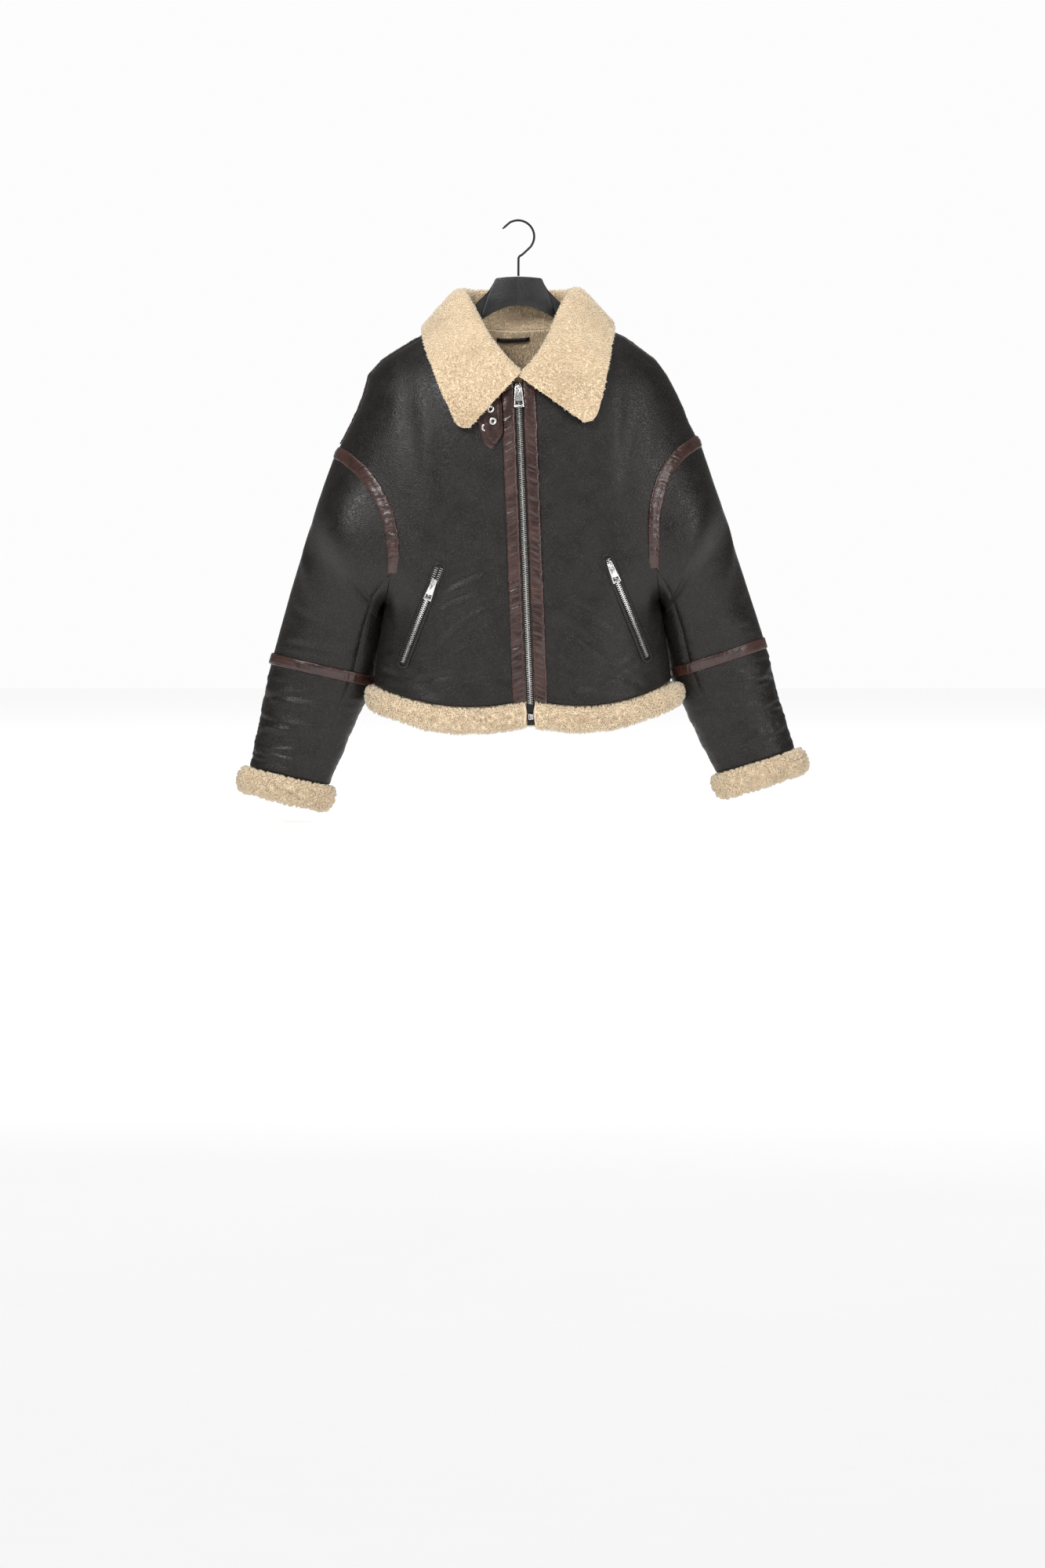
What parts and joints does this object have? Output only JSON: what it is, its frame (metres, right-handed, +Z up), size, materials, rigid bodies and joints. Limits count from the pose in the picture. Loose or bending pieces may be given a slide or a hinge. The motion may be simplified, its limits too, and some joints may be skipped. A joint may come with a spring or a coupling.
{
  "type": "shearling jacket on hanger",
  "caption": "Short black leather jacket lined with cream shearling, turned-down wool collar, brown taped seams, zipped front and pockets, hanging closed on a black hanger with a wire hook",
  "frame": {"origin": "The inside top of the hanger's hook, where a rail carries it. +X is the viewer's right, the wearer's left.", "axes": "+Z up, front of the jacket faces -Y"},
  "size_m": [0.8718, 0.1959, 0.901],
  "materials": {
    "black_leather": "semi-matt, fine grain",
    "brown_leather": "glossy, puckered, stitched",
    "wool": "curly shearling pile",
    "zip_tape": "woven",
    "nickel": "polished, slightly worn",
    "black_metal": "smooth black",
    "hanger_plastic": "matt, ribbed at the hub"
  },
  "bodies": {
    "jacket": {"armhole_tape_left": "brown_leather", "armhole_tape_right": "brown_leather", "back": "black_leather", "collar": "wool", "cuff_wool_left": "wool", "cuff_wool_right": "wool", "elbow_tape_left": "brown_leather", "elbow_tape_right": "brown_leather", "eyelet_1": "nickel", "eyelet_2": "nickel", "front_left": "black_leather", "front_right": "black_leather", "hanger_body": "hanger_plastic", "hanger_hook": "black_metal", "hanger_loop": "zip_tape", "hanger_plate": "hanger_plastic", "hem_wool": "wool", "main_low_slider": "black_metal", "main_slider": "nickel", "main_zip_box": "nickel", "main_zip_tape": "zip_tape", "main_zip_teeth": "nickel", "placket_left": "brown_leather", "placket_right": "brown_leather", "pocket_slider_left": "nickel", "pocket_slider_right": "nickel", "pocket_welt_left": "black_leather", "pocket_welt_right": "black_leather", "pocket_zip_left": "nickel", "pocket_zip_right": "nickel", "shoulder_tape_left": "brown_leather", "shoulder_tape_right": "brown_leather", "sleeve_lower_left": "black_leather", "sleeve_lower_right": "black_leather", "sleeve_lower_under_left": "black_leather", "sleeve_lower_under_right": "black_leather", "sleeve_upper_left": "black_leather", "sleeve_upper_right": "black_leather", "sleeve_upper_under_left": "black_leather", "sleeve_upper_under_right": "black_leather", "throat_strap": "brown_leather", "throat_strap_under": "brown_leather"},
    "main_tab_body": {"main_tab": "nickel"},
    "pocket_tab_right_body": {"pocket_tab_right": "nickel"},
    "pocket_tab_left_body": {"pocket_tab_left": "nickel"}
  },
  "joints": [
    {"name": "main_tab_hinge", "type": "hinge", "parent": "jacket", "child": "main_tab_body", "pos_m": [0.00025, -0.08893, -0.2541], "axis": [-0.9993, -0.0048, -0.0381], "range_deg": [0, 85]},
    {"name": "pocket_tab_right_hinge", "type": "hinge", "parent": "jacket", "child": "pocket_tab_right_body", "pos_m": [-0.12799, -0.09578, -0.54966], "axis": [-0.9335, 0.0385, 0.3565], "range_deg": [0, 150]},
    {"name": "pocket_tab_left_hinge", "type": "hinge", "parent": "jacket", "child": "pocket_tab_left_body", "pos_m": [0.13931, -0.09611, -0.52341], "axis": [-0.9289, 0.005, -0.3703], "range_deg": [0, 150]}
  ]
}
